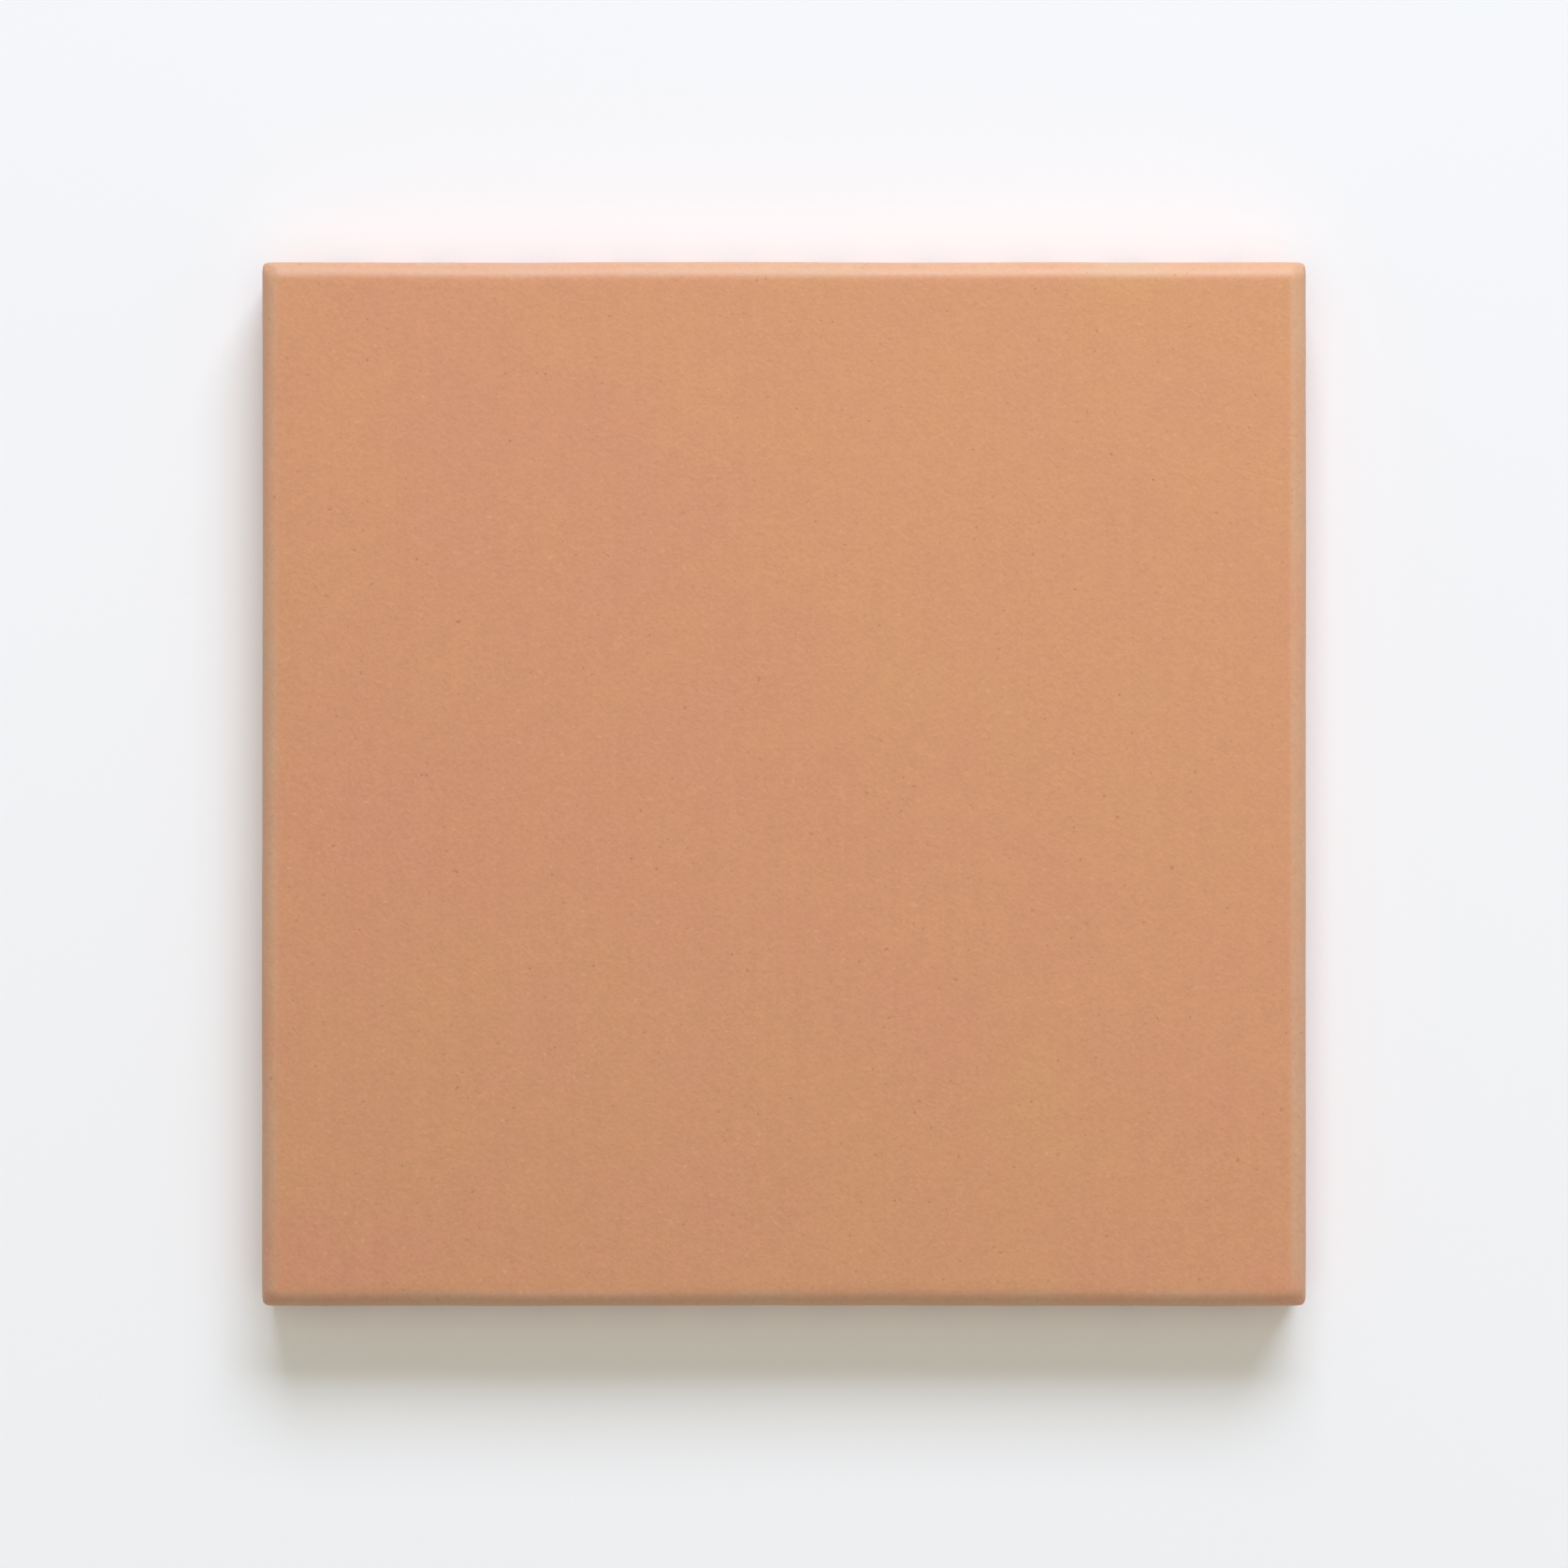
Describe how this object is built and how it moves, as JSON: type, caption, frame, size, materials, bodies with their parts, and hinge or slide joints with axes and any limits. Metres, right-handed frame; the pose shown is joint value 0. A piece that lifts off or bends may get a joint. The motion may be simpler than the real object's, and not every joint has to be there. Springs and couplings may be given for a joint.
{
  "type": "square tile",
  "caption": "Square unglazed terracotta tile with a flat matt face, rolled face edges and a back keyed with dovetail grooves, for tiling floors and walls.",
  "frame": {"origin": "centre of the back, on the bedding plane", "axes": "+Z out of the face; X and Y along the sides, the grooves of the back running along Y"},
  "size_m": [0.15, 0.15, 0.0125],
  "materials": {
    "fired_clay": "matt unglazed terracotta, smooth fired face"
  },
  "bodies": {
    "root": {"tile": "fired_clay"}
  },
  "joints": []
}
